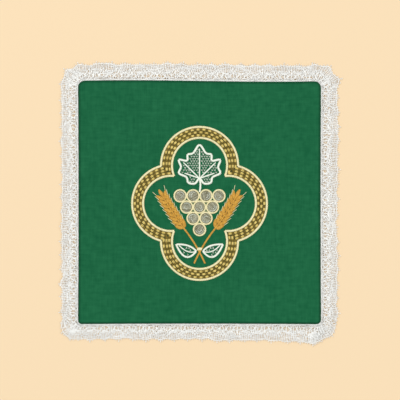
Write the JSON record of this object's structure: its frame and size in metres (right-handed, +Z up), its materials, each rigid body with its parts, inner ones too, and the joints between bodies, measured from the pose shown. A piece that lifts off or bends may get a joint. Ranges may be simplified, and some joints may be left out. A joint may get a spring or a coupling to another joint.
{
  "type": "chalice pall",
  "caption": "Flat stiffened square of green cloth with gold and silver embroidery on its face and a scalloped white lace edging round the rim.",
  "frame": {"origin": "bottom centre of the whole object's box, lace included, on the surface that it lies on", "axes": "+Z up, out of the embroidered face; +Y towards the top of the design; +X to the right of the design"},
  "size_m": [0.1858, 0.186, 0.003],
  "materials": {
    "green_cloth": "close plain weave, matt",
    "white_lace": "cotton thread, open mesh and dense fans, matt",
    "gold_thread": "embroidery thread with a metallic sheen",
    "amber_thread": "embroidery thread, silky",
    "silver_thread": "embroidery thread with a metallic sheen",
    "cream_thread": "embroidery thread, silky"
  },
  "bodies": {
    "root": {"face_panel": "green_cloth", "lace_edging": "white_lace"}
  },
  "joints": []
}
